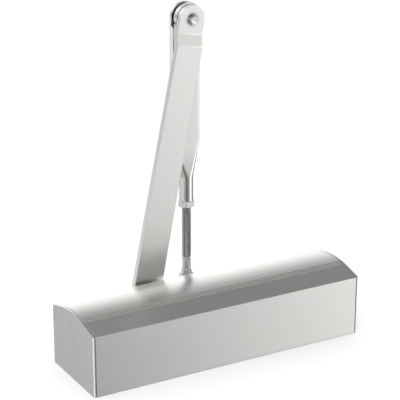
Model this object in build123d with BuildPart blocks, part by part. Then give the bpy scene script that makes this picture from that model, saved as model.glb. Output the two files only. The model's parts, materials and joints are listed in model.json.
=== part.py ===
from build123d import *
import os
from math import acos, asin, ceil, cos, degrees, dist, floor, pi, radians, sin, sqrt, tan

# Overhead door closer lying on its back, as it leaves its box.
# Millimetres. The origin is the middle of the face that lies against the door,
# +X runs along the body, +Y towards the arms along the spindle, +Z away from the door.

# Clearances
running_fit = 0.05        # shaft or piston in its bore
seated_fit = 0.02         # pieces pressed or screwed home
slip_fit = 0.2            # pieces pushed together by hand
same_place = 0.01         # how near two heights are to count as one

# Cover and end caps
body_length = 240.0       # over both end caps
cover_depth = 73.0
side_height = 49.5
band_slope = 14.7         # degrees that the two sloping bands fall away
crown_width = 39.0        # rounded strip between the bands
cover_wall = 2.0
cover_edge_round = 0.6
groove_count = 3
groove_pitch = 2.5
groove_width = 1.2
groove_depth = 0.8
groove_inset = 1.8        # first groove, in from the sloping band
cap_thickness = 1.5
cap_gap = 0.5             # shadow line between a cap and the cover
cap_edge_chamfer = 0.9
cap_rim_depth = 8.0
cap_rim_wall = 1.6
cap_rim_lift = 0.6        # rim kept up from the door

# Mounting plate
plate_thickness = 3.0
plate_end_gap = 1.0
door_hole_end = 14.5      # hole centre in from the plate's end
door_hole_side = 6.8      # hole centre in from the plate's long edge
door_hole_radius = 2.75
tab_spacing = 140.0
tab_length = 18.0
tab_height = 13.0
tab_thickness = 2.0

# Cylinder body
spindle_x = -37.0
bore_height = 25.0        # bore axis above the door
bore_radius = 17.0
cylinder_width = 42.0
cylinder_top = 46.0
cylinder_corner = 5.0
plug_thread_radius = 18.5
plug_thread_length = 6.0
plug_nose_length = 5.0
plug_socket = 10.0        # hexagon across flats
plug_socket_depth = 4.5
seal_section = 1.25       # ring seal, radius of its section
boss_radius = 17.0
boss_reach = 30.0         # from the bore axis to the end of either spindle boss
valve_radius = 2.5
valve_length = 18.0
valve_point_length = 3.0
valve_tip_radius = 0.8
valve_offset_y = 16.0
valve_offset_z = 16.0
valve_slot_width = 0.9
valve_slot_depth = 1.3
body_screw_radius = 2.5
body_screw_head_radius = 5.0
body_screw_length = 13.0
body_screw_spacing_x = 156.0
body_screw_spacing_y = 32.0

# Pinion, rack and piston
tooth_count = 12
tooth_module = 1.5
pressure_angle = 25.0
addendum = 1.3
dedendum = 1.7
flank_backlash = 0.15     # taken off each pinion flank at the pitch circle
pinion_face = 28.0
opening_angle = 170.0     # spindle turn from closed to fully open
slot_end_gap = 1.5
piston_head = 11.0
piston_end_gap = 1.3

# Return spring
spring_room = 92.0        # between piston and right plug, door closed
spring_wire_radius = 2.4
spring_mean_radius = 13.1
spring_turns = 10
spring_end_gap = 0.1

# Check valve in the piston
check_ball_radius = 2.0
check_ball_gap = 0.2
check_bore_radius = 2.3
check_bore_depth = 8.0
check_port_radius = 1.2
check_retainer_length = 2.0

# Spindle and its bearings
journal_radius = 7.5
bearing_radius = 12.0
bearing_inner_gap = 0.2   # bearing kept off the piston
gland_radius = 13.5
gland_length = 6.0
seal_radius = 10.0
seal_length = 3.5
gland_lip = 0.3           # gland kept off the turning spindle
spindle_lower_gap = 0.3
collar_radius = 9.5
collar_length = 3.0
square_size = 10.0
square_recess = 0.3       # square end stops short of the arm's face
arm_screw_radius = 3.0
arm_screw_reach = 14.0
arm_screw_head_radius = 8.0
arm_screw_head = 2.0
arm_screw_socket = 5.0
arm_screw_socket_depth = 1.4
notch_radius = 14.0       # spindle notch in the cover

# Main arm
arm_clearance = 4.0       # between the cover and the arm
arm_length = 239.6        # spindle to elbow
arm_lean = 11.44          # degrees from upright, door closed
arm_thickness = 5.2
arm_foot_radius = 12.8
head_radius = 11.1
head_offset = 4.0         # elbow head set back from the bar
head_thickness = 7.3
ear_thickness = 4.1
joggle_from_elbow = 11.6
joggle_length = 9.1
joggle_lead = 3.0         # rear face starts its bend this much sooner
head_pocket_gap = 1.0     # pocket wall to spacer

# Elbow
spacer_radius = 11.6
spacer_length = 5.1
spacer_neck_radius = 8.5
spacer_neck_length = 1.7
spacer_chamfer = 0.4
elbow_gap = 0.6
rivet_radius = 5.8
rivet_dimple_radius = 4.8
rivet_dimple_tip = 0.3
rivet_dimple_depth = 4.5
rivet_flange_radius = 8.2
rivet_flange = 1.3

# Forearm
arms_gap = 2.6            # between the elbow head and the blade
blade_width = 25.5
blade_thickness = 5.4
blade_edge_round = 1.8
blade_length = 102.8      # elbow to the start of the taper
taper_length = 29.0
sleeve_length = 21.0
sleeve_radius = 5.7
sleeve_forward = 1.9      # sleeve's axis, forward of the blade's middle
sleeve_bore_depth = 22.0
blade_pocket_gap = 2.4

# Adjusting rod and lock nut
rod_radius = 3.95
rod_thread_length = 61.0
rod_engaged = 12.0        # thread inside the sleeve as photographed
shank_radius = 3.4
shank_length = 11.5
rod_collar_radius = 4.25
rod_collar_length = 4.0
eye_neck_length = 18.5    # eye centre to the collar
eye_neck_width = 11.5
eye_radius = 9.0
eye_thickness = 6.0
nut_flats = 13.0
nut_length = 5.0
nut_corner_radius = 7.2
nut_chamfer = 0.7

# Shoe that is screwed to the door frame
pivot_height = 23.5       # pivot above the shoe's face
shoe_length = 72.0
shoe_width = 20.0
shoe_corner = 4.0
shoe_plate = 4.0
shoe_hole_spacing = 52.0
shoe_hole_radius = 2.75
shoe_sink_radius = 5.2
ear_gap = 0.3
shoe_ear = 3.4
shoe_ear_radius = 10.0
shoe_ear_foot = 28.0
shoe_pin_radius = 4.0
shoe_pin_head_radius = 6.0
shoe_pin_head = 1.8

# Places worked out from the sizes
slope = radians(band_slope)
cover_half = body_length / 2 - cap_thickness - cap_gap
cover_back = cover_depth / 2
crown_radius = crown_width / 2 / sin(slope)
crown_height = side_height + (cover_depth - crown_width) / 2 * tan(slope) + crown_width / 2 * tan(slope / 2)
crown_center = crown_height - crown_radius
cover_inside = cover_back - cover_wall
plate_half_length = body_length / 2 - cap_thickness - cap_rim_depth - plate_end_gap
plate_half_width = cover_inside - slip_fit
door_hole_spacing_x = 2 * (plate_half_length - door_hole_end)
door_hole_spacing_y = 2 * (plate_half_width - door_hole_side)

pitch_radius = tooth_module * tooth_count / 2
tip_radius = pitch_radius + addendum
root_radius = pitch_radius - dedendum
tooth_pitch = pi * tooth_module
piston_travel = pitch_radius * radians(opening_angle)
rack_line = bore_height - pitch_radius
slot_left = spindle_x - tip_radius - piston_travel - slot_end_gap
slot_right = spindle_x + tip_radius + slot_end_gap
piston_left = slot_left - piston_head
piston_right = slot_right + piston_head
piston_radius = bore_radius - running_fit
left_plug_face = piston_left - piston_end_gap
right_plug_face = piston_right + spring_room
plug_length = plug_thread_length + plug_nose_length
cylinder_left = left_plug_face - plug_length
cylinder_right = right_plug_face + plug_length
bearing_outer_y = boss_reach - gland_length
bearing_length = bearing_outer_y - bore_radius - bearing_inner_gap

arm_front = cover_back + arm_clearance
arm_rear = arm_front + arm_thickness
head_front = arm_front + head_offset
head_rear = head_front + head_thickness
pocket_floor = head_front + ear_thickness
lean = radians(arm_lean)
arm_direction = (sin(lean), 0, cos(lean))
elbow_x = spindle_x + arm_length * sin(lean)
elbow_z = bore_height + arm_length * cos(lean)
spacer_front = pocket_floor + elbow_gap
spacer_depth = spacer_length + spacer_neck_length
spacer_rear = spacer_front + spacer_depth
blade_front = head_rear + arms_gap
blade_rear = blade_front + blade_thickness
blade_middle = (blade_front + blade_rear) / 2
rod_y = blade_middle - sleeve_forward
taper_top = elbow_z - blade_length
sleeve_top = taper_top - taper_length
sleeve_bottom = sleeve_top - sleeve_length
rod_top = sleeve_bottom + rod_engaged
rod_shank_top = rod_top - rod_thread_length
rod_collar_top = rod_shank_top - shank_length
rod_neck_top = rod_collar_top - rod_collar_length
pivot_z = rod_neck_top - eye_neck_length
shoe_base = pivot_z - pivot_height
shoe_top = shoe_base + shoe_plate
eye_front = rod_y - eye_thickness / 2
eye_rear = rod_y + eye_thickness / 2
front_ear = eye_front - ear_gap - shoe_ear
rear_ear = eye_rear + ear_gap

stand = (Align.CENTER, Align.CENTER, Align.MIN)
os.makedirs("parts", exist_ok=True)


def save(piece, name):
    """Label a finished piece and write it."""
    piece.label = name
    export_step(piece, f"parts/{name}.step")


def across(y):
    """Sketch plane square to the spindle: its x and y are X and Z, and a minus amount goes to +Y."""
    return Plane.XZ.offset(-y)


def along(x):
    """Sketch plane square to the bore: its x and y are Y and Z."""
    return Plane.YZ.offset(x)


def on_spindle(y):
    """Place on the spindle axis, with the local z along +Y."""
    return Location((spindle_x, y, bore_height), (-90, 0, 0))


def on_elbow(y):
    """Place on the elbow axis, with the local z along +Y."""
    return Location((elbow_x, y, elbow_z), (-90, 0, 0))


def on_bore(x):
    """Place on the bore axis, with the local z along +X."""
    return Location((x, 0, bore_height), (0, 90, 0))


def arch_face(inset, bottom):
    """End profile of the cover, drawn in by an even inset and cut off at the bottom height."""
    half = cover_back - inset
    radius = crown_radius - inset
    edge_z = side_height + inset * tan(slope) - inset / cos(slope)
    shoulder_y = radius * sin(slope)
    shoulder_z = crown_center + radius * cos(slope)
    with BuildSketch(Plane.YZ) as profile:
        with BuildLine():
            Polyline((-shoulder_y, shoulder_z), (-half, edge_z), (-half, bottom))
            Polyline((-half, bottom), (half, bottom), (half, edge_z), (shoulder_y, shoulder_z))
            ThreePointArc((shoulder_y, shoulder_z), (0, crown_center + radius), (-shoulder_y, shoulder_z))
        make_face()
    return profile.sketch


# Cover: one length of thin-walled extrusion, open towards the door
with BuildPart() as cover:
    extrude(arch_face(0, 0), amount=cover_half, both=True)
    extrude(arch_face(cover_wall, -cover_wall), amount=cover_half, both=True, mode=Mode.SUBTRACT)
    long_edges = cover.edges().filter_by(Axis.X)
    band_edges = long_edges.filter_by_position(Axis.Z, side_height - same_place, side_height + same_place)
    fillet(band_edges, cover_edge_round)
    with BuildSketch(Plane.YZ):
        for index in range(groove_count):
            groove_y = crown_width / 2 - groove_inset - index * groove_pitch
            tilt = asin(groove_y / crown_radius)
            groove_z = crown_center + crown_radius * cos(tilt)
            with Locations(Location((-groove_y, groove_z), degrees(tilt))):
                Rectangle(groove_width, 2 * groove_depth)
    extrude(amount=cover_half, both=True, mode=Mode.SUBTRACT)
    with BuildSketch(across(cover_inside - cover_wall)):
        with Locations((spindle_x, bore_height)):
            Circle(notch_radius)
            Rectangle(2 * notch_radius, 2 * bore_height, align=(Align.CENTER, Align.MAX))
    extrude(amount=-3 * cover_wall, mode=Mode.SUBTRACT)
save(cover.part, "cover")

# End caps: flat plates with a rim that pushes into the cover
for side, name in ((-1, "left_end_cap"), (1, "right_end_cap")):
    inner_face = side * (body_length / 2 - cap_thickness)
    with BuildPart() as cap:
        extrude(arch_face(0, 0).moved(Location((inner_face, 0, 0))), amount=side * cap_thickness)
        outer_face = cap.faces().sort_by(Axis.X)[0 if side < 0 else -1]
        chamfer(outer_face.edges().filter_by(Axis.Z), cap_edge_chamfer)
        rim_inset = cover_wall + slip_fit
        rim = arch_face(rim_inset, cap_rim_lift) - arch_face(rim_inset + cap_rim_wall, -cap_rim_wall)
        extrude(rim.moved(Location((inner_face, 0, 0))), amount=-side * cap_rim_depth)
    save(cap.part, name)

# Mounting plate: flat sheet with four bent-up tabs that grip the cover
with BuildPart() as mounting_plate:
    with BuildSketch():
        Rectangle(2 * plate_half_length, 2 * plate_half_width)
        with GridLocations(door_hole_spacing_x, door_hole_spacing_y, 2, 2):
            Circle(door_hole_radius, mode=Mode.SUBTRACT)
    extrude(amount=plate_thickness)
    with BuildSketch(Plane.XY.offset(plate_thickness)):
        with GridLocations(tab_spacing, 2 * plate_half_width - tab_thickness, 2, 2):
            Rectangle(tab_length, tab_thickness)
    extrude(amount=tab_height)
    cylinder_middle = (cylinder_left + cylinder_right) / 2
    with Locations((cylinder_middle, 0, 0)):
        with GridLocations(body_screw_spacing_x, body_screw_spacing_y, 2, 2):
            sink_depth = body_screw_head_radius - body_screw_radius
            Cone(body_screw_head_radius, body_screw_radius, sink_depth, align=stand, mode=Mode.SUBTRACT)
            Cylinder(body_screw_radius + seated_fit, plate_thickness, align=stand, mode=Mode.SUBTRACT)
save(mounting_plate.part, "mounting_plate")

# Countersunk screws that hold the cylinder body on its plate
with BuildPart() as body_screws:
    with Locations((cylinder_middle, 0, 0)):
        with GridLocations(body_screw_spacing_x, body_screw_spacing_y, 2, 2):
            Cone(body_screw_head_radius, body_screw_radius, sink_depth, align=stand)
            Cylinder(body_screw_radius, body_screw_length, align=stand)
save(body_screws.part, "body_screws")

# Cylinder body: oil chamber with a long bore and a cross bore for the spindle
valve_places = {
    "closing_speed_valve": (valve_offset_y, bore_height + valve_offset_z),
    "latching_speed_valve": (-valve_offset_y, bore_height + valve_offset_z),
}
with BuildPart() as closer_body:
    with BuildSketch(along(cylinder_left)) as section:
        with Locations((0, plate_thickness)):
            Rectangle(cylinder_width, cylinder_top - plate_thickness, align=(Align.CENTER, Align.MIN))
        fillet(section.vertices().group_by(Axis.Y)[-1], cylinder_corner)
    extrude(amount=cylinder_right - cylinder_left)
    with Locations(on_spindle(-boss_reach)):
        Cylinder(boss_radius, 2 * boss_reach, align=stand)
    with Locations(on_bore(cylinder_left)):
        Cylinder(bore_radius, cylinder_right - cylinder_left, align=stand, mode=Mode.SUBTRACT)
    with Locations(on_bore(cylinder_left), on_bore(cylinder_right - plug_thread_length)):
        Cylinder(plug_thread_radius, plug_thread_length, align=stand, mode=Mode.SUBTRACT)
    with Locations(on_spindle(-bearing_outer_y)):
        Cylinder(bearing_radius, 2 * bearing_outer_y, align=stand, mode=Mode.SUBTRACT)
    with Locations(on_spindle(-boss_reach), on_spindle(bearing_outer_y)):
        Cylinder(gland_radius, gland_length, align=stand, mode=Mode.SUBTRACT)
    for valve_y, valve_z in valve_places.values():
        with Locations(Location((cylinder_left, valve_y, valve_z), (0, 90, 0))):
            Cylinder(valve_radius + running_fit, valve_length, align=stand, mode=Mode.SUBTRACT)
    with Locations((cylinder_middle, 0, 0)):
        with GridLocations(body_screw_spacing_x, body_screw_spacing_y, 2, 2):
            Cylinder(body_screw_radius + seated_fit, body_screw_length, align=stand, mode=Mode.SUBTRACT)
save(closer_body.part, "closer_body")

# End plugs: thread, nose with a seal groove, and a hexagon socket outside
seal_ring_radius = bore_radius - seated_fit - seal_section
for side, name, face in ((-1, "left", left_plug_face), (1, "right", right_plug_face)):
    outward = Plane(origin=(face, 0, bore_height), x_dir=(0, 1, 0), z_dir=(side, 0, 0))
    seal_middle = plug_nose_length / 2
    with BuildPart(outward) as plug:
        Cylinder(bore_radius - seated_fit, plug_nose_length, align=stand)
        with Locations((0, 0, plug_nose_length)):
            Cylinder(plug_thread_radius - seated_fit, plug_thread_length, align=stand)
        with BuildSketch(outward.offset(seal_middle - seal_section)):
            Circle(bore_radius)
            Circle(seal_ring_radius - seal_section, mode=Mode.SUBTRACT)
        extrude(amount=2 * seal_section, mode=Mode.SUBTRACT)
        with BuildSketch(outward.offset(plug_length)):
            RegularPolygon(plug_socket / 2, 6, major_radius=False)
        extrude(amount=-plug_socket_depth, mode=Mode.SUBTRACT)
    save(plug.part, f"{name}_end_plug")
    with BuildPart(outward.offset(seal_middle)) as seal:
        Torus(seal_ring_radius, seal_section - seated_fit)
    save(seal.part, f"{name}_plug_seal")

# Piston: a rod of steel with a through slot whose floor is the rack
with BuildPart() as rack_piston:
    with Locations(on_bore(piston_left)):
        Cylinder(piston_radius, piston_right - piston_left, align=stand)
    rack_root = rack_line - dedendum
    slot_top = bore_height + tip_radius + slot_end_gap
    flare = tan(radians(pressure_angle))
    rack_tooth_base = tooth_pitch / 2 + 2 * dedendum * flare
    first_tooth = ceil((slot_left + rack_tooth_base / 2 - spindle_x) / tooth_pitch - 0.5)
    last_tooth = floor((slot_right - rack_tooth_base / 2 - spindle_x) / tooth_pitch - 0.5)
    with BuildSketch(across(0)):
        with Locations((slot_left, rack_root)):
            Rectangle(slot_right - slot_left, slot_top - rack_root, align=(Align.MIN, Align.MIN))
        for index in range(first_tooth, last_tooth + 1):
            with Locations((spindle_x + (index + 0.5) * tooth_pitch, rack_root)):
                Trapezoid(
                    rack_tooth_base,
                    addendum + dedendum,
                    90 - pressure_angle,
                    align=(Align.CENTER, Align.MIN),
                    mode=Mode.SUBTRACT,
                )
    extrude(amount=bore_radius, both=True, mode=Mode.SUBTRACT)
    with Locations(on_bore(piston_right - check_bore_depth)):
        Cylinder(check_bore_radius, check_bore_depth, align=stand, mode=Mode.SUBTRACT)
    with Locations(on_bore(slot_right)):
        Cylinder(check_port_radius, piston_head, align=stand, mode=Mode.SUBTRACT)
save(rack_piston.part, "rack_piston")

# One-way valve in the piston: a loose ball behind a ring
with BuildPart() as check_valve_ball:
    with Locations(on_bore(piston_right - check_bore_depth + check_ball_radius + check_ball_gap)):
        Sphere(check_ball_radius)
save(check_valve_ball.part, "check_valve_ball")

with BuildPart() as check_valve_retainer:
    with Locations(on_bore(piston_right - check_retainer_length)):
        Cylinder(check_bore_radius - seated_fit, check_retainer_length, align=stand)
        Cylinder(check_port_radius, check_retainer_length, align=stand, mode=Mode.SUBTRACT)
save(check_valve_retainer.part, "check_valve_retainer")

# Return spring: a helix of quarter turns, each one a pair of tangent arcs
spring_start = piston_right + spring_wire_radius + spring_end_gap
spring_rise = spring_room - 2 * (spring_wire_radius + spring_end_gap)
spring_pitch = spring_rise / spring_turns
quarter_rise = spring_pitch / 4


def spring_point(quarter, radius=spring_mean_radius):
    """Point of the spring after so many quarter turns."""
    angle = quarter * pi / 2
    return (spring_start + quarter * quarter_rise, radius * cos(angle), bore_height + radius * sin(angle))


def spring_tangent(quarter):
    """Direction of the wire after so many quarter turns."""
    angle = quarter * pi / 2
    return (quarter_rise / (pi / 2), -spring_mean_radius * sin(angle), spring_mean_radius * cos(angle))


# The two arcs of a quarter turn meet on its middle radius, where both run square to that radius
half_sine = spring_mean_radius * sin(pi / 4)
half_cosine = spring_mean_radius * cos(pi / 4)
lift = half_sine * half_cosine + quarter_rise**2 / pi
reach = half_sine * (half_sine**2 + quarter_rise**2 / 4)
meeting_radius = half_cosine + (sqrt(lift**2 + half_sine * reach) - lift) / half_sine
with BuildLine() as spring_path:
    for quarter in range(4 * spring_turns):
        meeting = spring_point(quarter + 0.5, meeting_radius)
        TangentArc(spring_point(quarter), meeting, tangent=spring_tangent(quarter))
        TangentArc(meeting, spring_point(quarter + 1), tangent=spring_path.edges()[-1] % 1)
with BuildPart() as return_spring:
    with BuildSketch(Plane(origin=spring_point(0), z_dir=spring_tangent(0))):
        Circle(spring_wire_radius)
    sweep(path=spring_path.wires()[0])
save(return_spring.part, "return_spring")
points_per_turn = 16
point_count = spring_turns * points_per_turn + 1
spring_points = [spring_point(4 * step / points_per_turn) for step in range(point_count)]
turn_gap = min(
    dist(start, end)
    for index, start in enumerate(spring_points)
    for end in spring_points[index + points_per_turn // 2 :]
)
print("return spring, least gap between turns:", round(turn_gap - 2 * spring_wire_radius, 3))


# Spindle: pinion in the middle, a journal at each end, and the square that drives the arm
def pinion_half_angle(radius):
    """Half the angle that a tooth takes up at a radius outside the base circle."""
    pitch_lean = radians(pressure_angle)
    flank_lean = acos(base_radius / radius)
    at_pitch = pi / (2 * tooth_count) - flank_backlash / pitch_radius
    return at_pitch + (tan(pitch_lean) - pitch_lean) - (tan(flank_lean) - flank_lean)


base_radius = pitch_radius * cos(radians(pressure_angle))
flank_steps = 3
flank_reach = tip_radius - base_radius
flank_radii = [base_radius + flank_reach * step / flank_steps for step in range(flank_steps + 1)]
flank = [(r * sin(pinion_half_angle(r)), -r * cos(pinion_half_angle(r))) for r in flank_radii]
with BuildSketch() as pinion_tooth:
    with BuildLine():
        right_flank = Spline(*flank)
        left_flank = Spline(*[(-x, y) for x, y in flank])
        Line(right_flank @ 1, left_flank @ 1)
        Polyline(right_flank @ 0, (0, 0), left_flank @ 0)
    make_face()

square_end = arm_rear - square_recess
arm_flat = Plane(origin=(spindle_x, arm_front, bore_height), x_dir=arm_direction, z_dir=(0, -1, 0))
with BuildPart() as pinion_spindle:
    with BuildSketch(across(-pinion_face / 2)):
        with Locations((spindle_x, bore_height)):
            Circle(root_radius)
            for tooth in range(tooth_count):
                add(pinion_tooth.sketch, rotation=tooth * 360 / tooth_count)
    extrude(amount=-pinion_face)
    with Locations(on_spindle(-bearing_outer_y + spindle_lower_gap)):
        Cylinder(journal_radius, arm_front + bearing_outer_y - spindle_lower_gap, align=stand)
    with Locations(on_spindle(arm_front - collar_length)):
        Cylinder(collar_radius, collar_length, align=stand)
    with BuildSketch(arm_flat):
        Rectangle(square_size, square_size)
    extrude(amount=-(square_end - arm_front))
    with Locations(on_spindle(square_end - arm_screw_reach)):
        Cylinder(arm_screw_radius + seated_fit, arm_screw_reach, align=stand, mode=Mode.SUBTRACT)
save(pinion_spindle.part, "pinion_spindle")

# Plain bearings, one each side of the bore
for name, start in (("upper", bearing_outer_y - bearing_length), ("lower", -bearing_outer_y)):
    with BuildPart() as bearing:
        with Locations(on_spindle(start)):
            Cylinder(bearing_radius - seated_fit, bearing_length, align=stand)
            Cylinder(journal_radius + running_fit, bearing_length, align=stand, mode=Mode.SUBTRACT)
    save(bearing.part, f"{name}_spindle_bearing")

# Gland nut with its lip seal on the arm side
with BuildPart() as gland_nut:
    with Locations(on_spindle(bearing_outer_y)):
        Cylinder(gland_radius - seated_fit, gland_length, align=stand)
        Cylinder(journal_radius + gland_lip, gland_length, align=stand, mode=Mode.SUBTRACT)
    with Locations(on_spindle(boss_reach - seal_length)):
        Cylinder(seal_radius, seal_length, align=stand, mode=Mode.SUBTRACT)
save(gland_nut.part, "gland_nut")

with BuildPart() as spindle_seal:
    with Locations(on_spindle(boss_reach - seal_length)):
        Cylinder(seal_radius - seated_fit, seal_length, align=stand)
        Cylinder(journal_radius + running_fit, seal_length, align=stand, mode=Mode.SUBTRACT)
save(spindle_seal.part, "spindle_seal")

# Blind cap on the other end of the spindle
with BuildPart() as lower_spindle_cap:
    with Locations(on_spindle(-boss_reach)):
        Cylinder(gland_radius - seated_fit, gland_length, align=stand)
    with BuildSketch(across(-boss_reach)):
        with Locations((spindle_x, bore_height)):
            RegularPolygon(plug_socket / 2, 6, major_radius=False)
    extrude(amount=-plug_socket_depth, mode=Mode.SUBTRACT)
save(lower_spindle_cap.part, "lower_spindle_cap")

# Needle valves that set the closing and latching speeds
for name, (valve_y, valve_z) in valve_places.items():
    point_start = cylinder_left + valve_length - valve_point_length
    with BuildPart() as valve:
        with Locations(Location((cylinder_left, valve_y, valve_z), (0, 90, 0))):
            Cylinder(valve_radius, valve_length - valve_point_length, align=stand)
            Box(2 * valve_radius, valve_slot_width, 2 * valve_slot_depth, mode=Mode.SUBTRACT)
        with Locations(Location((point_start, valve_y, valve_z), (0, 90, 0))):
            Cone(valve_radius, valve_tip_radius, valve_point_length - slip_fit, align=stand)
    save(valve.part, name)

# Main arm: tapered bar with a thicker head, set back at the elbow
arm_side = (-cos(lean), 0, sin(lean))
arm_edge_on = Plane(origin=(spindle_x, 0, bore_height), x_dir=arm_direction, z_dir=arm_side)
joggle_end = arm_length - joggle_from_elbow
joggle_start = joggle_end - joggle_length
arm_tip = arm_length + head_radius
with BuildPart() as main_arm:
    with BuildSketch(arm_flat):
        Circle(arm_foot_radius)
        with Locations((arm_length, 0)):
            Circle(head_radius)
        make_hull()
    extrude(amount=-(head_rear - arm_front))
    with BuildSketch(arm_edge_on):
        with BuildLine():
            Polyline(
                (-arm_foot_radius, arm_front),
                (joggle_start, arm_front),
                (joggle_end, head_front),
                (arm_tip, head_front),
                (arm_tip, head_rear),
                (joggle_end, head_rear),
                (joggle_start - joggle_lead, arm_rear),
                (-arm_foot_radius, arm_rear),
                close=True,
            )
        make_face()
    extrude(amount=2 * arm_foot_radius, both=True, mode=Mode.INTERSECT)
    with Locations(on_elbow(pocket_floor)):
        Cylinder(spacer_radius + head_pocket_gap, head_thickness, align=stand, mode=Mode.SUBTRACT)
    with Locations(on_elbow(head_front)):
        Cylinder(rivet_radius + running_fit, head_thickness, align=stand, mode=Mode.SUBTRACT)
    with BuildSketch(arm_flat):
        Rectangle(square_size + 2 * running_fit, square_size + 2 * running_fit)
    extrude(amount=-arm_thickness, mode=Mode.SUBTRACT)
save(main_arm.part, "main_arm")

# Low-headed screw that holds the arm on the square
with BuildPart() as arm_screw:
    with Locations(on_spindle(square_end - arm_screw_reach)):
        Cylinder(arm_screw_radius, arm_screw_reach + square_recess, align=stand)
    with Locations(on_spindle(arm_rear)):
        Cylinder(arm_screw_head_radius, arm_screw_head, align=stand)
    with BuildSketch(across(arm_rear + arm_screw_head)):
        with Locations((spindle_x, bore_height)):
            RegularPolygon(arm_screw_socket / 2, 6, major_radius=False)
    extrude(amount=arm_screw_socket_depth, mode=Mode.SUBTRACT)
save(arm_screw.part, "arm_screw")

# Elbow: a thick disc with a narrower neck between the arms, on a rivet with a conical dimple in its front end
with BuildPart() as elbow_spacer:
    with Locations(on_elbow(spacer_front)):
        Cylinder(spacer_radius, spacer_length, align=stand)
        chamfer(elbow_spacer.edges(), spacer_chamfer)
        Cylinder(spacer_neck_radius, spacer_depth, align=stand)
        Cylinder(rivet_radius + seated_fit, spacer_depth, align=stand, mode=Mode.SUBTRACT)
save(elbow_spacer.part, "elbow_spacer")

with BuildPart() as elbow_rivet:
    with Locations(on_elbow(head_front)):
        Cylinder(rivet_radius, blade_rear - head_front, align=stand)
    with Locations(on_elbow(blade_rear)):
        Cylinder(rivet_flange_radius, rivet_flange, align=stand)
    with Locations(on_elbow(head_front)):
        Cone(rivet_dimple_radius, rivet_dimple_tip, rivet_dimple_depth, align=stand, mode=Mode.SUBTRACT)
save(elbow_rivet.part, "elbow_rivet")

# Forearm: flat blade drawn down into a round sleeve
with BuildPart() as forearm:
    with BuildSketch(across(blade_front)):
        with Locations((elbow_x, elbow_z)):
            Circle(blade_width / 2)
            Rectangle(blade_width, blade_length, align=(Align.CENTER, Align.MAX))
    extrude(amount=-blade_thickness)
    broad_faces = forearm.faces().sort_by(Axis.Y)
    outline = broad_faces[0].edges() + broad_faces[-1].edges()
    long_outline = outline.filter_by_position(Axis.Z, taper_top, elbow_z + blade_width, (False, True))
    fillet(long_outline, blade_edge_round)
    with BuildSketch(Plane.XY.offset(taper_top)):
        with Locations((elbow_x, blade_middle)):
            RectangleRounded(blade_width, blade_thickness, blade_edge_round)
    with BuildSketch(Plane.XY.offset(sleeve_top)):
        with Locations((elbow_x, rod_y)):
            RectangleRounded(2 * sleeve_radius, 2 * sleeve_radius, sleeve_radius - running_fit)
    loft()
    with Locations((elbow_x, rod_y, sleeve_bottom)):
        Cylinder(sleeve_radius, sleeve_length, align=stand)
        Cylinder(rod_radius + running_fit, sleeve_bore_depth, align=stand, mode=Mode.SUBTRACT)
    with Locations(on_elbow(spacer_rear - blade_thickness)):
        Cylinder(spacer_radius + blade_pocket_gap, blade_thickness, align=stand, mode=Mode.SUBTRACT)
    with Locations(on_elbow(blade_front)):
        Cylinder(rivet_radius + seated_fit, blade_thickness, align=stand, mode=Mode.SUBTRACT)
save(forearm.part, "forearm")

# Lock nut against the end of the sleeve
with BuildPart() as lock_nut:
    with BuildSketch(Plane.XY.offset(sleeve_bottom - nut_length)):
        with Locations((elbow_x, rod_y)):
            RegularPolygon(nut_flats / 2, 6, major_radius=False)
    extrude(amount=nut_length)
    nut_bottom = sleeve_bottom - nut_length
    bore_x = elbow_x + rod_radius + running_fit
    corner_x = elbow_x + nut_corner_radius
    corner_fall = nut_chamfer / 2
    with BuildSketch(across(rod_y)):
        with BuildLine():
            Polyline(
                (bore_x, sleeve_bottom),
                (corner_x - nut_chamfer, sleeve_bottom),
                (corner_x, sleeve_bottom - corner_fall),
                (corner_x, nut_bottom + corner_fall),
                (corner_x - nut_chamfer, nut_bottom),
                (bore_x, nut_bottom),
                close=True,
            )
        make_face()
    revolve(axis=Axis((elbow_x, rod_y, 0), (0, 0, 1)), mode=Mode.INTERSECT)
save(lock_nut.part, "lock_nut")

# Adjusting rod: thread, plain shank, collar and a flat eye
with BuildPart() as adjusting_rod:
    with Locations((elbow_x, rod_y, rod_shank_top)):
        Cylinder(rod_radius, rod_thread_length, align=stand)
    with Locations((elbow_x, rod_y, rod_collar_top)):
        Cylinder(shank_radius, shank_length, align=stand)
    with Locations((elbow_x, rod_y, rod_neck_top)):
        Cylinder(rod_collar_radius, rod_collar_length, align=stand)
    with BuildSketch(across(eye_front)):
        with Locations((elbow_x, pivot_z)):
            Circle(eye_radius)
        with Locations((elbow_x, rod_neck_top)):
            Rectangle(eye_neck_width, eye_radius, align=(Align.CENTER, Align.MAX))
        make_hull()
    extrude(amount=-eye_thickness)
    with BuildSketch(across(eye_front)):
        with Locations((elbow_x, pivot_z)):
            Circle(shoe_pin_radius + running_fit)
    extrude(amount=-eye_thickness, mode=Mode.SUBTRACT)
save(adjusting_rod.part, "adjusting_rod")

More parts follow.
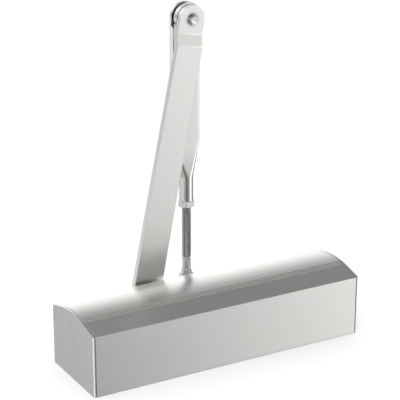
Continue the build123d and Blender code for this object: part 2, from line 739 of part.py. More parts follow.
# Shoe: a plate for the door frame with two ears around the eye
with BuildPart() as frame_shoe:
    with BuildSketch(Plane.XY.offset(shoe_base)):
        with Locations((elbow_x, front_ear + shoe_width / 2)):
            RectangleRounded(shoe_length, shoe_width, shoe_corner)
    extrude(amount=shoe_plate)
    for ear_front in (front_ear, rear_ear):
        with BuildSketch(across(ear_front)):
            with Locations((elbow_x, pivot_z)):
                Circle(shoe_ear_radius)
            with Locations((elbow_x, shoe_base)):
                Rectangle(shoe_ear_foot, shoe_plate, align=(Align.CENTER, Align.MIN))
            make_hull()
        extrude(amount=-shoe_ear)
    with BuildSketch(across(front_ear)):
        with Locations((elbow_x, pivot_z)):
            Circle(shoe_pin_radius + seated_fit)
    extrude(amount=-(rear_ear + shoe_ear - front_ear), mode=Mode.SUBTRACT)
    for hole_side in (-1, 1):
        hole_x = elbow_x + hole_side * shoe_hole_spacing / 2
        with Locations((hole_x, front_ear + shoe_width / 2, shoe_top)):
            CounterSinkHole(shoe_hole_radius, shoe_sink_radius, depth=shoe_plate, counter_sink_angle=90)
save(frame_shoe.part, "frame_shoe")

with BuildPart() as shoe_pin:
    with BuildSketch(across(front_ear)):
        with Locations((elbow_x, pivot_z)):
            Circle(shoe_pin_radius)
    extrude(amount=-(rear_ear + shoe_ear - front_ear))
    with BuildSketch(across(rear_ear + shoe_ear)):
        with Locations((elbow_x, pivot_z)):
            Circle(shoe_pin_head_radius)
    extrude(amount=-shoe_pin_head)
save(shoe_pin.part, "shoe_pin")

print("spindle:", spindle_x, bore_height, "elbow:", round(elbow_x, 3), round(elbow_z, 3))
print("shoe pivot:", round(rod_y, 3), round(pivot_z, 3), "shoe face:", round(shoe_base, 3))
print("piston travel:", round(piston_travel, 3))
print("cylinder:", round(cylinder_left, 2), round(cylinder_right, 2))
print("door holes:", round(door_hole_spacing_x, 3), round(door_hole_spacing_y, 3))
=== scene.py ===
import json
import math

import bmesh
import bpy
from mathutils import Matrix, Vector


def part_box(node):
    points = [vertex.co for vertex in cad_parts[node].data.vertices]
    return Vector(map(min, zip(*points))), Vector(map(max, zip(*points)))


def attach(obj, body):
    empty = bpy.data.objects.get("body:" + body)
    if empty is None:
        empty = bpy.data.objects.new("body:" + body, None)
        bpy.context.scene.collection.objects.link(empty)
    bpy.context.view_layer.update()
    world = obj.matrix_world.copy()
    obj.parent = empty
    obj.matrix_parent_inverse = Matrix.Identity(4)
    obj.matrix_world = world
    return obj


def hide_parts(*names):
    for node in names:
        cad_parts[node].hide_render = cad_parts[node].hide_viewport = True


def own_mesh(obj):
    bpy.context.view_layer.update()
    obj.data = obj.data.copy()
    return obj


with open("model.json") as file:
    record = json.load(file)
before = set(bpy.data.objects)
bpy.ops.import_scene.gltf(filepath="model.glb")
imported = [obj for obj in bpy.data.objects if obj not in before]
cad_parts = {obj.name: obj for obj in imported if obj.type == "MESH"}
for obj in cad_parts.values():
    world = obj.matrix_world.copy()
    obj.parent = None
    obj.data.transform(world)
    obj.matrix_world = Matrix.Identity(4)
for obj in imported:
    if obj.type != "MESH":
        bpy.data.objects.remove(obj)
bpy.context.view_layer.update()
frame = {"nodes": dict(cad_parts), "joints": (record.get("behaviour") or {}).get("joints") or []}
nodes = frame["nodes"]
joints = {joint["name"]: joint for joint in frame["joints"]}
spindlePlace = joints["spindle_turn"]["pos_m"]
elbowPlace = joints["elbow_turn"]["pos_m"]
shoePlace = joints["shoe_turn"]["pos_m"]
mm = 0.001
print("frame loaded:", len(nodes), "nodes")


# Node helpers

def addNode(tree, kind, inputs=None, **settings):
    node = tree.nodes.new(kind)
    for name, value in settings.items():
        setattr(node, name, value)
    for socket, value in (inputs or {}).items():
        if isinstance(value, bpy.types.NodeSocket):
            tree.links.new(value, node.inputs[socket])
        else:
            node.inputs[socket].default_value = value
    return node


def mathNode(tree, operation, first, second=0.0, clamp=False):
    node = addNode(tree, "ShaderNodeMath", {0: first, 1: second}, operation=operation, use_clamp=clamp)
    return node.outputs[0]


def plus(tree, first, second):
    return mathNode(tree, "ADD", first, second)


def minus(tree, first, second):
    return mathNode(tree, "SUBTRACT", first, second)


def times(tree, first, second):
    return mathNode(tree, "MULTIPLY", first, second)


def splitXyz(tree, vector):
    return addNode(tree, "ShaderNodeSeparateXYZ", {0: vector}).outputs


def joinXyz(tree, x, y, z):
    return addNode(tree, "ShaderNodeCombineXYZ", {0: x, 1: y, 2: z}).outputs[0]


def spread(tree, value, low, high, fromLow=0.0, fromHigh=1.0, curve="LINEAR"):
    limits = {"Value": value, "From Min": fromLow, "From Max": fromHigh, "To Min": low, "To Max": high}
    return addNode(tree, "ShaderNodeMapRange", limits, interpolation_type=curve).outputs["Result"]


def varied(tree, pattern, middle, reach, limits):
    # the pattern moves the value up and down about its middle
    return spread(tree, pattern, middle - reach, middle + reach, *limits)


def fade(tree, value, limits):
    # 0 to 1 with a soft start and end
    return spread(tree, value, 0.0, 1.0, *limits, curve="SMOOTHSTEP")


def noise(tree, place, scale, detail, roughness):
    sizes = {"Vector": place, "Scale": scale, "Detail": detail, "Roughness": roughness}
    return addNode(tree, "ShaderNodeTexNoise", sizes).outputs["Fac"]


def mixTwo(tree, first, second, firstShare):
    return plus(tree, times(tree, first, firstShare), times(tree, second, 1 - firstShare))


def greyFrom(tree, value, tint):
    # a tinted grey whose lightness follows the value
    node = addNode(tree, "ShaderNodeVectorMath", {0: tint, "Scale": value}, operation="SCALE")
    return node.outputs["Vector"]


# Metals and rubber

noiseLimits = (0.3, 0.7)      # nearly all of a noise texture lies between these
grainLimits = (0.3, 0.65)     # the same for noise mixed with cells
openLimits = (0.5, 0.98)      # openness deep in a crevice and on a free face
toolMarkDepth = 0.02 * mm
broadAcross = 0.22            # scale of the broad streaks, as a share of the fine ones'
broadAlong = 0.5
fineShare = 0.6               # fine streaks against broad ones
cloudScale = 14.0
mottleScale = 160.0
grainShare = 0.7              # grain against cells
cellScale = 0.6               # share of the grain's scale


def blankMaterial(name):
    material = bpy.data.materials.new(name)
    material.use_nodes = True
    tree = material.node_tree
    tree.nodes.clear()
    shader = addNode(tree, "ShaderNodeBsdfPrincipled")
    addNode(tree, "ShaderNodeOutputMaterial", {"Surface": shader.outputs["BSDF"]})
    return material, tree, shader


def objectPoint(tree, turn=(0, 0, 0), scale=(1, 1, 1), centre=(0, 0, 0)):
    place = addNode(tree, "ShaderNodeTexCoord").outputs["Object"]
    shifted = addNode(tree, "ShaderNodeVectorMath", {0: place, 1: centre}, operation="SUBTRACT").outputs[0]
    mapping = addNode(tree, "ShaderNodeMapping", {"Vector": shifted, "Rotation": turn, "Scale": scale})
    return mapping.outputs["Vector"]


def paintedCreviceShade(tree, tone, look):
    # painted shade: narrow grooves and gaps are darkened by how little open sky they see
    if "paintedShadeReach" not in look:
        return tone
    openness = addNode(tree, "ShaderNodeAmbientOcclusion", {"Distance": look["paintedShadeReach"]}, samples=8)
    paintedShade = spread(tree, openness.outputs["AO"], look["paintedShadeTone"], 1.0, *openLimits)
    return times(tree, tone, paintedShade)


def setSurface(tree, shader, look, tone, rough, relief, depth, metallic=1.0):
    tree.links.new(greyFrom(tree, tone, look["colour"]), shader.inputs["Base Color"])
    tree.links.new(rough, shader.inputs["Roughness"])
    bump = addNode(tree, "ShaderNodeBump", {"Height": relief, "Strength": look["bump"], "Distance": depth})
    tree.links.new(bump.outputs["Normal"], shader.inputs["Normal"])
    shader.inputs["Metallic"].default_value = metallic


def brushedMetal(name, look):
    # fine and broad streaks along one direction, over faint large clouds
    material, tree, shader = blankMaterial(name)
    turn = (0, look.get("lean", 0), 0)
    fineScale = [look["long"] if axis == look["along"] else look["fine"] for axis in "XYZ"]
    shares = [broadAlong if axis == look["along"] else broadAcross for axis in "XYZ"]
    broadScale = [share * scale for share, scale in zip(shares, fineScale)]
    fine = noise(tree, objectPoint(tree, turn, fineScale), scale=1.0, detail=5.0, roughness=0.7)
    broad = noise(tree, objectPoint(tree, turn, broadScale), scale=1.0, detail=3.0, roughness=0.6)
    clouds = noise(tree, objectPoint(tree), scale=cloudScale, detail=2.0, roughness=0.5)
    streaks = mixTwo(tree, fine, broad, fineShare)
    tone = times(tree, varied(tree, streaks, 1, look["streak"], noiseLimits),
                 varied(tree, clouds, 1, look["cloud"], noiseLimits))
    # painted shade in grooves and gaps
    tone = paintedCreviceShade(tree, tone, look)
    rough = varied(tree, streaks, look["rough"], look["roughSpread"], noiseLimits)
    setSurface(tree, shader, look, tone, rough, fine, toolMarkDepth)
    return material


def turnedMetal(name, look):
    # tool marks that run round an axis, with a little mottling
    material, tree, shader = blankMaterial(name)
    place = objectPoint(tree, centre=look["centre"])
    axes = splitXyz(tree, place)
    axis = "XYZ".index(look["axis"])
    squares = [mathNode(tree, "POWER", axes[i], 2.0) for i in range(3) if i != axis]
    radius = mathNode(tree, "SQRT", plus(tree, *squares))
    rings = noise(tree, joinXyz(tree, radius, axes[axis], 0.0), look["fine"], detail=4.0, roughness=0.65)
    mottle = noise(tree, place, mottleScale, detail=3.0, roughness=0.6)
    tone = times(tree, varied(tree, rings, 1, look["streak"], noiseLimits),
                 varied(tree, mottle, 1, look["cloud"], noiseLimits))
    # painted shade in grooves and gaps
    tone = paintedCreviceShade(tree, tone, look)
    rough = varied(tree, rings, look["rough"], look["roughSpread"], noiseLimits)
    setSurface(tree, shader, look, tone, rough, rings, toolMarkDepth)
    return material


def grainyMaterial(name, look):
    # an even grain, for cast skin, sintered bearing metal, drawn wire and moulded rubber
    material, tree, shader = blankMaterial(name)
    place = objectPoint(tree)
    grain = noise(tree, place, look["fine"], detail=5.0, roughness=0.6)
    cells = addNode(tree, "ShaderNodeTexVoronoi", {"Vector": place, "Scale": look["fine"] * cellScale})
    mixed = mixTwo(tree, grain, cells.outputs["Distance"], grainShare)
    tone = varied(tree, mixed, 1, look["streak"], grainLimits)
    rough = varied(tree, mixed, look["rough"], look["roughSpread"], grainLimits)
    setSurface(tree, shader, look, tone, rough, mixed, look["deep"], look["metallic"])
    return material


armLean = math.atan2(elbowPlace[0] - spindlePlace[0], elbowPlace[2] - spindlePlace[2])

# the cover's grooves get painted shade
coverLook = dict(colour=(0.805, 0.797, 0.778), along="X", long=3.0, fine=1700.0, streak=0.03, cloud=0.01,
                 rough=0.29, roughSpread=0.02, bump=0.06, paintedShadeReach=0.6 * mm, paintedShadeTone=0.05)
capLook = dict(colour=(0.88, 0.88, 0.88), along="Z", long=14.0, fine=1500.0, streak=0.08, cloud=0.02,
               rough=0.3, roughSpread=0.04, bump=0.2)
armLook = dict(colour=(0.93, 0.92, 0.90), along="Z", lean=-armLean, long=10.0, fine=1300.0, streak=0.02,
               cloud=0.015, rough=0.34, roughSpread=0.02, bump=0.06)
forearmLook = dict(armLook, colour=(0.83, 0.82, 0.805), lean=0.0, rough=0.22)
zincLook = dict(colour=(0.72, 0.73, 0.745), along="Z", long=900.0, fine=900.0, streak=0.06, cloud=0.05,
                rough=0.30, roughSpread=0.06, bump=0.2)
nutLook = dict(zincLook, colour=(0.95, 0.95, 0.955), rough=0.45)
sheetLook = dict(colour=(0.70, 0.71, 0.735), along="X", long=60.0, fine=700.0, streak=0.08, cloud=0.06,
                 rough=0.33, roughSpread=0.07, bump=0.2)
boreLook = dict(colour=(0.56, 0.56, 0.57), axis="X", centre=(0, 0, spindlePlace[2]), fine=2600.0,
                streak=0.08, cloud=0.05, rough=0.32, roughSpread=0.06, bump=0.3)
spindleLook = dict(boreLook, axis="Y", centre=(spindlePlace[0], 0, spindlePlace[2]))
rivetLook = dict(boreLook, colour=(0.80, 0.80, 0.80), axis="Y", centre=(elbowPlace[0], 0, elbowPlace[2]),
                 streak=0.04, rough=0.3, roughSpread=0.03, bump=0.1)
# painted shade in the gaps at the elbow
elbowLook = dict(rivetLook, colour=(0.84, 0.84, 0.84), streak=0.08, roughSpread=0.06, bump=0.3,
                 paintedShadeReach=2.0 * mm, paintedShadeTone=0.02)
rodLook = dict(boreLook, colour=(0.43, 0.425, 0.425), axis="Z", centre=(elbowPlace[0], shoePlace[1], 0),
               fine=900.0, rough=0.3, roughSpread=0.04)
shankLook = dict(rodLook, colour=(0.74, 0.735, 0.735), streak=0.04, rough=0.27, roughSpread=0.03, bump=0.1)
brassLook = dict(boreLook, colour=(0.78, 0.61, 0.30), rough=0.27)
castLook = dict(colour=(0.58, 0.58, 0.59), fine=700.0, streak=0.12, rough=0.5, roughSpread=0.08, bump=0.5,
                deep=0.15 * mm, metallic=1.0)
bronzeLook = dict(colour=(0.62, 0.44, 0.24), fine=1600.0, streak=0.15, rough=0.42, roughSpread=0.08,
                  bump=0.35, deep=0.06 * mm, metallic=1.0)
wireLook = dict(colour=(0.17, 0.17, 0.18), fine=900.0, streak=0.18, rough=0.4, roughSpread=0.1, bump=0.25,
                deep=0.05 * mm, metallic=1.0)
rubberLook = dict(colour=(0.035, 0.035, 0.037), fine=1200.0, streak=0.25, rough=0.6, roughSpread=0.08,
                  bump=0.25, deep=0.05 * mm, metallic=0.0)

coverMetal = brushedMetal("coverBrushedAluminium", coverLook)
capMetal = brushedMetal("capBrushedAluminium", capLook)
armMetal = brushedMetal("armSatinSilver", armLook)
forearmMetal = brushedMetal("forearmSatinSilver", forearmLook)
zincMetal = brushedMetal("brightZinc", zincLook)
nutMetal = brushedMetal("matteZinc", nutLook)
rivetMetal = turnedMetal("turnedRivet", rivetLook)
sheetMetal = brushedMetal("zincSheet", sheetLook)
boreSteel = turnedMetal("turnedSteelAlongBore", boreLook)
spindleSteel = turnedMetal("turnedSteelOnSpindle", spindleLook)
elbowSteel = turnedMetal("turnedSteelAtElbow", elbowLook)
rodSteel = turnedMetal("turnedSteelOnRod", rodLook)
shankSteel = turnedMetal("brightShank", shankLook)
valveBrass = turnedMetal("turnedBrass", brassLook)
castMetal = grainyMaterial("castAluminium", castLook)
bearingBronze = grainyMaterial("bearingBronze", bronzeLook)
springSteel = grainyMaterial("oiledSpringWire", wireLook)
sealRubber = grainyMaterial("sealRubber", rubberLook)
print("metals and rubber made")


# Finished copies of the solids: merged, with small rounded edges

mergeReach = 0.001 * mm
flatAngle = math.radians(0.4)      # faces that differ by less become one


def linkObject(name, data):
    holder = bpy.data.objects.new(name, data)
    bpy.context.scene.collection.objects.link(holder)
    return holder


def plainMesh(piece):
    # what the modifiers make becomes the piece's own mesh
    graph = bpy.context.evaluated_depsgraph_get()
    made = bpy.data.meshes.new_from_object(piece.evaluated_get(graph))
    piece.modifiers.clear()
    piece.data = made
    made.name = piece.name
    return piece


def mergedCopy(node, name):
    source = nodes[node].data
    mesh = bpy.data.meshes.new(name)
    mesh.from_pydata([v.co for v in source.vertices], [], [tuple(p.vertices) for p in source.polygons])
    shape = bmesh.new()
    shape.from_mesh(mesh)
    bmesh.ops.remove_doubles(shape, verts=shape.verts, dist=mergeReach)
    bmesh.ops.dissolve_limit(shape, angle_limit=flatAngle, verts=shape.verts, edges=shape.edges)
    shape.to_mesh(mesh)
    shape.free()
    return mesh


def smoothShade(mesh, angle=32):
    for face in mesh.polygons:
        face.use_smooth = True
    mesh.set_sharp_from_angle(angle=math.radians(angle))


def roundEdges(piece, width, segments=2, angle=32):
    bevel = piece.modifiers.new("roundedEdges", "BEVEL")
    bevel.width = width
    bevel.segments = segments
    bevel.limit_method = "ANGLE"
    bevel.angle_limit = math.radians(angle)
    bevel.harden_normals = True
    bevel.use_clamp_overlap = True
    even = piece.modifiers.new("flatsStayFlat", "WEIGHTED_NORMAL")
    even.keep_sharp = True
    even.weight = 100
    plainMesh(piece)


def paint(mesh, material):
    mesh.materials.clear()
    mesh.materials.append(material)


def standIn(piece, node, body):
    # the piece moves with the body and takes the solid's place
    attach(piece, body)
    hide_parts(node)


def finishedCopy(name, node, body, metal, edge, segments=2, angle=32):
    mesh = mergedCopy(node, name)
    smoothShade(mesh, angle)
    piece = linkObject(name, mesh)
    roundEdges(piece, edge, segments, angle)
    paint(piece.data, metal)
    standIn(piece, node, body)


finishedPieces = {
    "coverShell": dict(node="cover", body="closer", metal=coverMetal, edge=0.28 * mm, segments=3, angle=20),
    "leftEndCap": dict(node="left_end_cap", body="closer", metal=capMetal, edge=0.12 * mm),
    "rightEndCap": dict(node="right_end_cap", body="closer", metal=capMetal, edge=0.12 * mm),
    "mountingPlate": dict(node="mounting_plate", body="closer", metal=sheetMetal, edge=0.25 * mm),
    "mainArm": dict(node="main_arm", body="spindle", metal=armMetal, edge=0.22 * mm, angle=15),
    "armScrew": dict(node="arm_screw", body="spindle", metal=zincMetal, edge=0.3 * mm),
    "elbowSpacer": dict(node="elbow_spacer", body="forearm", metal=elbowSteel, edge=0.2 * mm),
    "elbowRivet": dict(node="elbow_rivet", body="forearm", metal=rivetMetal, edge=0.08 * mm),
    "forearmBlade": dict(node="forearm", body="forearm", metal=forearmMetal, edge=0.3 * mm),
    "lockNut": dict(node="lock_nut", body="forearm", metal=nutMetal, edge=0.15 * mm),
    "frameShoe": dict(node="frame_shoe", body="shoe", metal=forearmMetal, edge=0.5 * mm, segments=3),
    "shoePin": dict(node="shoe_pin", body="shoe", metal=zincMetal, edge=0.4 * mm),
}
for name, finish in finishedPieces.items():
    finishedCopy(name, **finish)
print("finished copies:", len(finishedPieces))


# Geometry Nodes: trees with named sizes, turned into plain meshes

def sizedTree(name, sizes):
    tree = bpy.data.node_groups.new(name, "GeometryNodeTree")
    tree.interface.new_socket("Mesh", in_out="OUTPUT", socket_type="NodeSocketGeometry")
    for label, value in sizes.items():
        kind = "NodeSocketInt" if isinstance(value, int) else "NodeSocketFloat"
        tree.interface.new_socket(label, in_out="INPUT", socket_type=kind)
    return tree, tree.nodes.new("NodeGroupInput").outputs


def closeTree(tree, geometry, material):
    real = addNode(tree, "GeometryNodeRealizeInstances", {0: geometry}).outputs[0]
    painted = addNode(tree, "GeometryNodeSetMaterial", {"Geometry": real, "Material": material}).outputs[0]
    addNode(tree, "NodeGroupOutput", {0: painted})


def meshFromTree(tree, name, sizes):
    piece = linkObject(name, bpy.data.meshes.new(name))
    maker = piece.modifiers.new(name, "NODES")
    maker.node_group = tree
    for item in tree.interface.items_tree:
        if item.in_out == "INPUT":
            maker[item.identifier] = sizes[item.name]
    return plainMesh(piece)


# Countersunk screws with a cross recess, two by two under the plate

screwLow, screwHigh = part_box("body_screws")
screwHeadRadius = 5.0 * mm
bodyScrewSizes = {
    "headRadius": screwHeadRadius,
    "shankRadius": 2.5 * mm,
    "sinkDepth": 2.5 * mm,
    "length": screwHigh[2] - screwLow[2],
    "spacingX": screwHigh[0] - screwLow[0] - 2 * screwHeadRadius,
    "spacingY": screwHigh[1] - screwLow[1] - 2 * screwHeadRadius,
    "slotLength": 5.2 * mm,
    "slotWidth": 1.1 * mm,
    "slotDepth": 1.5 * mm,
    "sides": 40,
}


def makeBodyScrews():
    tree, size = sizedTree("crossHeadScrews", bodyScrewSizes)
    head = addNode(tree, "GeometryNodeMeshCone", {
        "Vertices": size["sides"],
        "Radius Bottom": size["headRadius"],
        "Radius Top": size["shankRadius"],
        "Depth": size["sinkDepth"],
    })
    shank = addNode(tree, "GeometryNodeMeshCylinder", {
        "Vertices": size["sides"],
        "Radius": size["shankRadius"],
        "Depth": size["length"],
    })
    raised = addNode(tree, "GeometryNodeTransform", {
        "Geometry": shank.outputs["Mesh"],
        "Translation": joinXyz(tree, 0.0, 0.0, times(tree, size["length"], 0.5)),
    })
    solid = addNode(tree, "GeometryNodeMeshBoolean", operation="UNION", solver="EXACT")
    tree.links.new(head.outputs["Mesh"], solid.inputs["Mesh 2"])
    tree.links.new(raised.outputs[0], solid.inputs["Mesh 2"])
    recess = addNode(tree, "GeometryNodeMeshBoolean", {"Mesh 1": solid.outputs[0]}, operation="DIFFERENCE",
                     solver="EXACT")
    twiceDeep = times(tree, size["slotDepth"], 2.0)      # half of each bar stands out of the head
    for slot in (joinXyz(tree, size["slotLength"], size["slotWidth"], twiceDeep),
                 joinXyz(tree, size["slotWidth"], size["slotLength"], twiceDeep)):
        bar = addNode(tree, "GeometryNodeMeshCube", {"Size": slot})
        tree.links.new(bar.outputs["Mesh"], recess.inputs["Mesh 2"])
    places = addNode(tree, "GeometryNodeMeshGrid", {
        "Size X": size["spacingX"],
        "Size Y": size["spacingY"],
        "Vertices X": 2,
        "Vertices Y": 2,
    })
    screws = addNode(tree, "GeometryNodeInstanceOnPoints", {
        "Points": places.outputs["Mesh"],
        "Instance": recess.outputs[0],
    })
    closeTree(tree, screws.outputs[0], zincMetal)
    piece = meshFromTree(tree, "bodyScrews", bodyScrewSizes)
    smoothShade(piece.data)
    standIn(piece, "body_screws", "closer")


# Return spring: a wound wire that the piston presses against the right plug

springLow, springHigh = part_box("return_spring")
springLength = springHigh[0] - springLow[0]
wireRadius = 2.4 * mm
springSizes = {
    "wireRadius": wireRadius,
    "coilRadius": 13.1 * mm,
    "turns": 10.0,
    "from": springLow[0] + wireRadius,
    "length": springLength - 2 * wireRadius,
    "axisHeight": spindlePlace[2],
    "stepsPerTurn": 48,
    "wireSides": 18,
}


def makeReturnSpring():
    tree, size = sizedTree("woundWire", springSizes)
    coil = addNode(tree, "GeometryNodeCurveSpiral", {
        "Resolution": size["stepsPerTurn"],
        "Rotations": size["turns"],
        "Start Radius": size["coilRadius"],
        "End Radius": size["coilRadius"],
        "Height": size["length"],
    })
    spot = splitXyz(tree, addNode(tree, "GeometryNodeInputPosition").outputs[0])
    x = plus(tree, spot[2], size["from"])
    z = plus(tree, spot[1], size["axisHeight"])
    laid = addNode(tree, "GeometryNodeSetPosition", {
        "Geometry": coil.outputs[0],
        "Position": joinXyz(tree, x, spot[0], z),
    })
    wire = addNode(tree, "GeometryNodeCurvePrimitiveCircle", {
        "Resolution": size["wireSides"],
        "Radius": size["wireRadius"],
    })
    wound = addNode(tree, "GeometryNodeCurveToMesh", {
        "Curve": laid.outputs[0],
        "Profile Curve": wire.outputs[0],
        "Fill Caps": True,
    })
    closeTree(tree, wound.outputs[0], springSteel)
    piece = meshFromTree(tree, "returnSpring", springSizes)
    smoothShade(piece.data, angle=40)
    standIn(piece, "return_spring", "closer")
    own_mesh(piece)


# Adjusting rod: a cut thread above, the turned shank and eye of the solid below

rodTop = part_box("adjusting_rod")[1][2]
threadSizes = {
    "outerRadius": 3.95 * mm,
    "depth": 0.45 * mm,
    "pitch": 1.25 * mm,
    "flankShare": 0.375,       # of the pitch, beside two small flats
    "crestShare": 0.125,
    "from": 57.7 * mm,
    "to": rodTop,
    "axisX": elbowPlace[0],
    "axisY": shoePlace[1],
    "spareTurns": 3.0,         # past each end, drawn in to the axis to close it
    "runOutTurns": 1.2,        # over which the ridge rises from the root
    "endSlope": 4.0,           # how steeply the spare turns draw in
    "rowNudge": 0.001,         # keeps rows off the step of the fraction
    "seamReach": 0.004 * mm,   # merges the seam and the closed ends
    "rowsPerTurn": 8,
    "sides": 36,
}


def makeThread():
    tree, size = sizedTree("cutThread", threadSizes)
    reach = minus(tree, size["to"], size["from"])
    spare = times(tree, size["spareTurns"], 2.0)
    turns = mathNode(tree, "CEIL", plus(tree, mathNode(tree, "DIVIDE", reach, size["pitch"]), spare))
    net = addNode(tree, "GeometryNodeMeshGrid", {
        "Size X": 1.0,
        "Size Y": 1.0,
        "Vertices X": plus(tree, times(tree, turns, size["rowsPerTurn"]), 1.0),
        "Vertices Y": plus(tree, size["sides"], 1.0),
    })
    spot = splitXyz(tree, addNode(tree, "GeometryNodeInputPosition").outputs[0])
    along = times(tree, plus(tree, spot[0], 0.5), turns)
    turnShare = plus(tree, spot[1], 0.5)
    climb = times(tree, minus(tree, plus(tree, along, turnShare), size["spareTurns"]), size["pitch"])
    height = plus(tree, climb, size["from"])
    # a V ridge with small flats at crest and root, which runs out at the ends
    phase = mathNode(tree, "FRACT", plus(tree, along, size["rowNudge"]))
    bothFlanks = times(tree, size["flankShare"], 2.0)
    fallEnd = plus(tree, bothFlanks, plus(tree, size["crestShare"], size["rowNudge"]))
    rise = mathNode(tree, "DIVIDE", phase, size["flankShare"])
    fall = mathNode(tree, "DIVIDE", minus(tree, fallEnd, phase), size["flankShare"])
    flank = mathNode(tree, "MINIMUM", rise, fall, clamp=True)
    inside = mathNode(tree, "MINIMUM", climb, minus(tree, size["to"], height))
    runOut = mathNode(tree, "DIVIDE", inside, times(tree, size["pitch"], size["runOutTurns"]), clamp=True)
    cut = times(tree, minus(tree, 1.0, times(tree, flank, runOut)), size["depth"])
    drawnIn = times(tree, mathNode(tree, "MINIMUM", inside, 0.0), size["endSlope"])
    radius = mathNode(tree, "MAXIMUM", 0.0, plus(tree, minus(tree, size["outerRadius"], cut), drawnIn))
    level = mathNode(tree, "MINIMUM", mathNode(tree, "MAXIMUM", height, size["from"]), size["to"])
    angle = times(tree, turnShare, 2 * math.pi)
    x = plus(tree, size["axisX"], times(tree, radius, mathNode(tree, "COSINE", angle)))
    y = plus(tree, size["axisY"], times(tree, radius, mathNode(tree, "SINE", angle)))
    bent = addNode(tree, "GeometryNodeSetPosition", {
        "Geometry": net.outputs["Mesh"],
        "Position": joinXyz(tree, x, y, level),
    })
    outward = addNode(tree, "GeometryNodeFlipFaces", {"Mesh": bent.outputs[0]})
    closed = addNode(tree, "GeometryNodeMergeByDistance", {
        "Geometry": outward.outputs[0],
        "Distance": size["seamReach"],
    })
    closeTree(tree, closed.outputs[0], rodSteel)
    piece = meshFromTree(tree, "rodThread", threadSizes)
    smoothShade(piece.data, angle=30)
    standIn(piece, "adjusting_rod", "rod")


rodShankSizes = {
    "overlap": 0.3 * mm,       # how far the shank's cut end stands in the thread
    "edge": 0.25 * mm,
}


def makeRodShank():
    mesh = mergedCopy("adjusting_rod", "rodShank")
    top = (0, 0, threadSizes["from"] + rodShankSizes["overlap"])
    shape = bmesh.new()
    shape.from_mesh(mesh)
    everything = shape.verts[:] + shape.edges[:] + shape.faces[:]
    bmesh.ops.bisect_plane(shape, geom=everything, plane_co=top, plane_no=(0, 0, 1), clear_outer=True)
    bmesh.ops.holes_fill(shape, edges=[edge for edge in shape.edges if edge.is_boundary])
    bmesh.ops.recalc_face_normals(shape, faces=shape.faces)
    shape.to_mesh(mesh)
    shape.free()
    smoothShade(mesh)
    piece = linkObject("rodShank", mesh)
    roundEdges(piece, rodShankSizes["edge"])
    paint(piece.data, shankSteel)
    standIn(piece, "adjusting_rod", "rod")


makeBodyScrews()
makeReturnSpring()
makeThread()
makeRodShank()
print("screws, spring, thread and shank made")


# Nodes that stay as they are, with their own finish

plainNodes = {
    "closer_body": castMetal,
    "left_end_plug": boreSteel,
    "right_end_plug": boreSteel,
    "rack_piston": boreSteel,
    "check_valve_ball": boreSteel,
    "check_valve_retainer": boreSteel,
    "left_plug_seal": sealRubber,
    "right_plug_seal": sealRubber,
    "spindle_seal": sealRubber,
    "pinion_spindle": spindleSteel,
    "gland_nut": spindleSteel,
    "lower_spindle_cap": spindleSteel,
    "upper_spindle_bearing": bearingBronze,
    "lower_spindle_bearing": bearingBronze,
    "closing_speed_valve": valveBrass,
    "latching_speed_valve": valveBrass,
}
for node, material in plainNodes.items():
    paint(nodes[node].data, material)
print("plain nodes dressed:", len(plainNodes))


# Studio: pale floor, one soft lamp, and a backdrop with light and grey panels that the metal mirrors

studio = {
    "floorSize": 8.0,
    "floorColour": (0.9, 0.9, 0.9, 1),
    "floorGlow": 0.54,         # white of the floor that doesn't depend on the light
    "shadowReach": 0.06,
    "shadowDepth": 0.7,
    "lampPower": 7.0,
    "lampSize": 1.4,
    "lampPlace": (-0.7, -0.6, 1.3),
    "brightest": 2.0,          # level that white stands for in the lists below
    # degrees round from +X and level, for what is mirrored below the horizon
    "around": [(-180, 0.8), (-170, 1.2), (-150, 1.5), (-138, 0.4), (-118, 0.08), (-104, 0.15), (-88, 0.36),
               (-74, 0.28), (-62, 0.62), (-51, 1.45), (-40, 1.95), (-31, 1.8), (-20, 0.6), (-11, 0.08),
               (14, 0.06), (21, 1.1), (40, 1.1), (46, 0.06), (54, 0.06), (61, 1.4), (80, 1.6), (88, 0.08),
               (98, 0.06), (107, 0.3), (116, 0.8), (130, 0.8), (150, 0.7), (180, 0.75)],
    # degrees of height and level
    "below": [(-90, 0.4), (-40, 0.5), (-26, 0.75), (-21, 0.8), (-18, 1.05), (-15, 1.3), (0, 1.3)],
    "behind": [(-10, 1.4), (12, 1.2), (20, 0.97), (26, 0.75), (30, 0.58), (36, 0.4), (41, 0.3), (45, 0.1),
               (60, 0.08), (72, 0.8), (90, 1.5)],
    "behindLeft": [(-10, 0.4), (8, 0.55), (18, 1.2), (45, 1.2), (60, 0.5), (72, 0.8), (90, 1.5)],
    "inFront": [(-10, 0.42), (2, 0.55), (8, 1.15), (14, 1.2), (20, 0.55), (28, 0.08), (50, 0.06), (60, 0.2),
                (72, 0.8), (90, 1.5)],
    # degrees round from +X and how much of the front's level is there
    "acrossFront": [(-180, 0.5), (-130, 0.7), (-78, 0.75), (-64, 0.85), (-52, 2.0), (-40, 2.4), (-15, 2.2),
                    (20, 1.0), (180, 0.5)],
    # where panels go over into each other: shares towards back right and back, and degrees of height
    "rearFade": (0.3, 0.75),
    "rearLeftFade": (0.2, 0.7),
    "horizonFade": (-13.0, -3.0),
}


def levelRamp(tree, value, stops):
    # grey level read off a given list of places and levels
    places, levels = zip(*stops)
    first, last = places[0], places[-1]
    ramp = addNode(tree, "ShaderNodeValToRGB", {"Fac": spread(tree, value, 0.0, 1.0, first, last)})
    elements = ramp.color_ramp.elements
    for place in places[1:-1]:
        elements.new((place - first) / (last - first))
    for element, level in zip(elements, levels):
        grey = level / studio["brightest"]
        element.color = (grey, grey, grey, 1)
    return ramp.outputs["Color"]


def blendLevels(tree, share, first, second):
    return addNode(tree, "ShaderNodeMix", {0: share, 2: first, 3: second}, data_type="FLOAT").outputs[0]


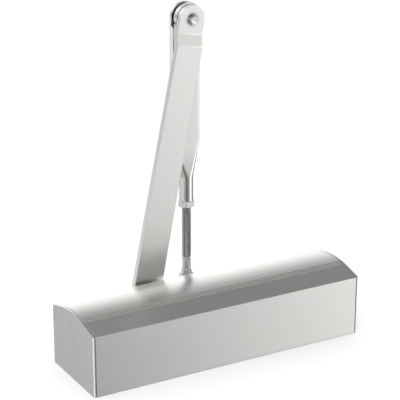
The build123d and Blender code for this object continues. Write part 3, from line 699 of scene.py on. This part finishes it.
def makeFloor():
    half = studio["floorSize"] / 2
    corners = [(-half, -half, 0), (half, -half, 0), (half, half, 0), (-half, half, 0)]
    mesh = bpy.data.meshes.new("paperFloor")
    mesh.from_pydata(corners, [], [(0, 1, 2, 3)])
    floor = linkObject("paperFloor", mesh)
    material = bpy.data.materials.new("palePaper")
    material.use_nodes = True
    tree = material.node_tree
    tree.nodes.clear()
    paper = addNode(tree, "ShaderNodeBsdfDiffuse", {"Color": studio["floorColour"]})
    openness = addNode(tree, "ShaderNodeAmbientOcclusion", {"Distance": studio["shadowReach"]}, samples=16)
    shadowGlow = studio["floorGlow"] * (1 - studio["shadowDepth"])
    glowLevel = spread(tree, openness.outputs["AO"], shadowGlow, studio["floorGlow"])
    glow = addNode(tree, "ShaderNodeEmission", {"Color": (1, 1, 1, 1), "Strength": glowLevel})
    clear = addNode(tree, "ShaderNodeBsdfTransparent")
    path = addNode(tree, "ShaderNodeLightPath").outputs
    seen = addNode(tree, "ShaderNodeAddShader", {0: paper.outputs[0], 1: glow.outputs[0]})
    shiny = mathNode(tree, "MAXIMUM", path["Is Glossy Ray"], path["Is Transmission Ray"])
    mirrored = addNode(tree, "ShaderNodeMixShader", {0: shiny, 1: paper.outputs[0], 2: clear.outputs[0]})
    final = addNode(tree, "ShaderNodeMixShader", {
        0: path["Is Camera Ray"],
        1: mirrored.outputs[0],
        2: seen.outputs[0],
    })
    addNode(tree, "ShaderNodeOutputMaterial", {"Surface": final.outputs[0]})
    mesh.materials.append(material)


def makeWorld():
    world = bpy.data.worlds.new("studioBackdrop")
    bpy.context.scene.world = world
    world.use_nodes = True
    tree = world.node_tree
    tree.nodes.clear()
    way = splitXyz(tree, addNode(tree, "ShaderNodeTexCoord").outputs["Generated"])
    toDegrees = math.degrees(1)
    height = times(tree, mathNode(tree, "ARCSINE", way[2]), toDegrees)
    turn = times(tree, mathNode(tree, "ARCTAN2", way[1], way[0]), toDegrees)
    backRight = times(tree, plus(tree, way[0], way[1]), math.sqrt(0.5))
    rear = fade(tree, backRight, studio["rearFade"])
    rearLeft = fade(tree, way[1], studio["rearLeftFade"])
    upper = fade(tree, height, studio["horizonFade"])
    front = times(tree, levelRamp(tree, height, studio["inFront"]),
                  levelRamp(tree, turn, studio["acrossFront"]))
    front = mathNode(tree, "MINIMUM", times(tree, front, studio["brightest"]), 1.0)
    above = blendLevels(tree, rearLeft, front, levelRamp(tree, height, studio["behindLeft"]))
    above = blendLevels(tree, rear, above, levelRamp(tree, height, studio["behind"]))
    below = times(tree, levelRamp(tree, turn, studio["around"]), levelRamp(tree, height, studio["below"]))
    below = times(tree, below, studio["brightest"])
    level = times(tree, blendLevels(tree, upper, below, above), studio["brightest"])
    seen = addNode(tree, "ShaderNodeLightPath").outputs["Is Camera Ray"]
    strength = blendLevels(tree, seen, level, 1.0)
    back = addNode(tree, "ShaderNodeBackground", {"Color": (1, 1, 1, 1), "Strength": strength})
    addNode(tree, "ShaderNodeOutputWorld", {"Surface": back.outputs[0]})


def aimedObject(name, data, place, direction):
    holder = linkObject(name, data)
    holder.location = place
    holder.rotation_euler = direction.to_track_quat("-Z", "Y").to_euler()
    return holder


def makeLight():
    lamp = bpy.data.lights.new("softLamp", "AREA")
    lamp.shape = "SQUARE"
    lamp.size = studio["lampSize"]
    lamp.energy = studio["lampPower"]
    aimedObject("softLamp", lamp, studio["lampPlace"], -Vector(studio["lampPlace"]))


photoCamera = {
    "place": (-0.5639, -0.9824, 0.5370),
    "looks": (0.4631, 0.8182, -0.3410),
    "lens": 138.7,
    "sensor": 36.0,
    "nearest": 0.05,
    "farthest": 50.0,
}


def makeCamera():
    camera = bpy.data.cameras.new("photoCamera")
    camera.lens = photoCamera["lens"]
    camera.sensor_width = photoCamera["sensor"]
    camera.clip_start = photoCamera["nearest"]
    camera.clip_end = photoCamera["farthest"]
    looks = Vector(photoCamera["looks"])
    bpy.context.scene.camera = aimedObject("photoCamera", camera, photoCamera["place"], looks)


makeFloor()
makeWorld()
makeLight()
makeCamera()
bpy.context.scene.view_settings.view_transform = "Standard"
print("studio and camera set")
